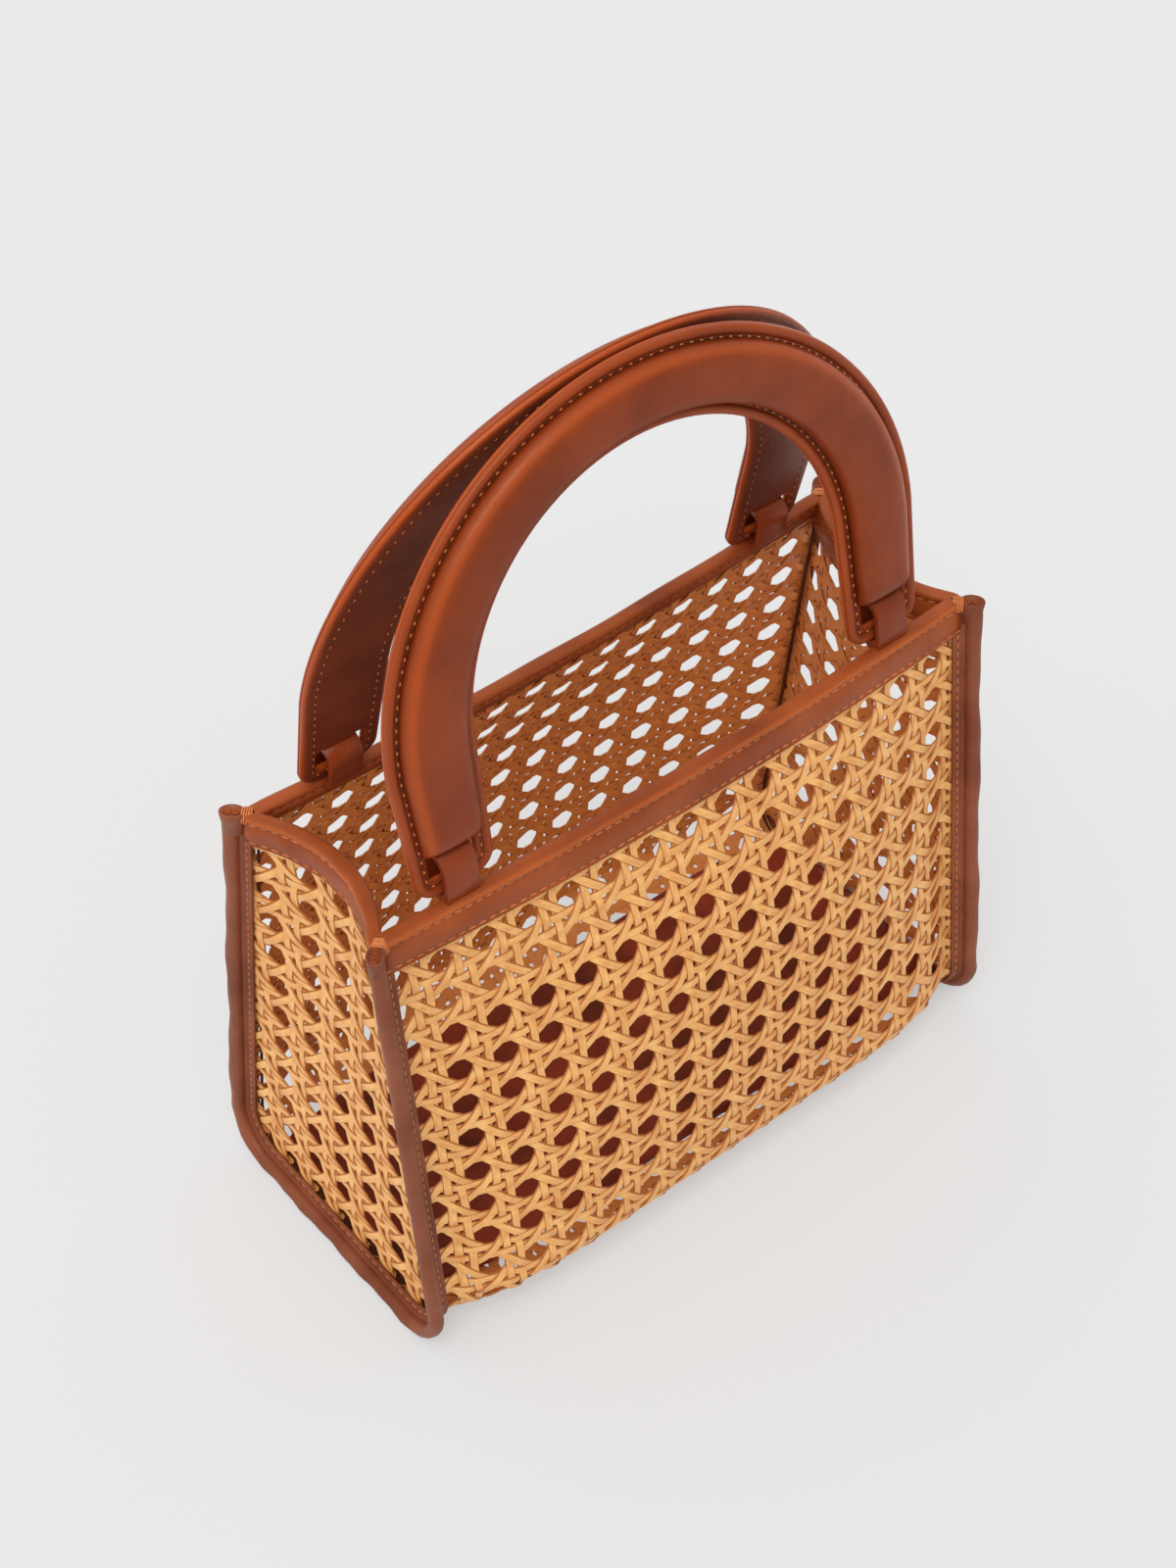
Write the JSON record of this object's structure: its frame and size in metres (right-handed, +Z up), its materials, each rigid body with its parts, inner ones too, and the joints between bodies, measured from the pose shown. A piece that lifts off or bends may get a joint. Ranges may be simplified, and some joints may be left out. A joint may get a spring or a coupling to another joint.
{
  "type": "basket box bag",
  "caption": "Box-shaped basket bag of open cane webbing with leather rims, corner bindings and two arched padded handles that swing on loops.",
  "frame": {"origin": "on the floor under the middle of the bag, in the plane of the bindings' lowest edge", "axes": "X along the bag's front, Y from the front to the back, Z up"},
  "size_m": [0.2514, 0.1234, 0.3343],
  "materials": {
    "cane": "natural open-weave cane",
    "leather": "smooth tan leather",
    "dark_leather": "smooth dark tan leather",
    "padding": "firm padding",
    "board": "stiff fibre board"
  },
  "bodies": {
    "bag": {"cane_wrap": "cane", "left_side_weave": "cane", "right_side_weave": "cane", "base_board": "board", "base_leather": "dark_leather", "front_rim": "leather", "back_rim": "leather", "left_rim": "leather", "right_rim": "leather", "left_seam_binding": "leather", "right_seam_binding": "leather", "front_left_loop": "leather", "front_right_loop": "leather", "back_left_loop": "leather", "back_right_loop": "leather"},
    "front_handle": {"front_handle_face": "leather", "front_handle_core": "padding", "front_handle_backing": "dark_leather"},
    "back_handle": {"back_handle_face": "leather", "back_handle_core": "padding", "back_handle_backing": "dark_leather"}
  },
  "joints": [
    {"name": "front_handle_swing", "type": "hinge", "parent": "bag", "child": "front_handle", "pos_m": [0, -0.03035, 0.195], "axis": [1, 0, 0], "range_deg": [0, 120]},
    {"name": "back_handle_swing", "type": "hinge", "parent": "bag", "child": "back_handle", "pos_m": [0, 0.03035, 0.195], "axis": [-1, 0, 0], "range_deg": [0, 120]}
  ]
}
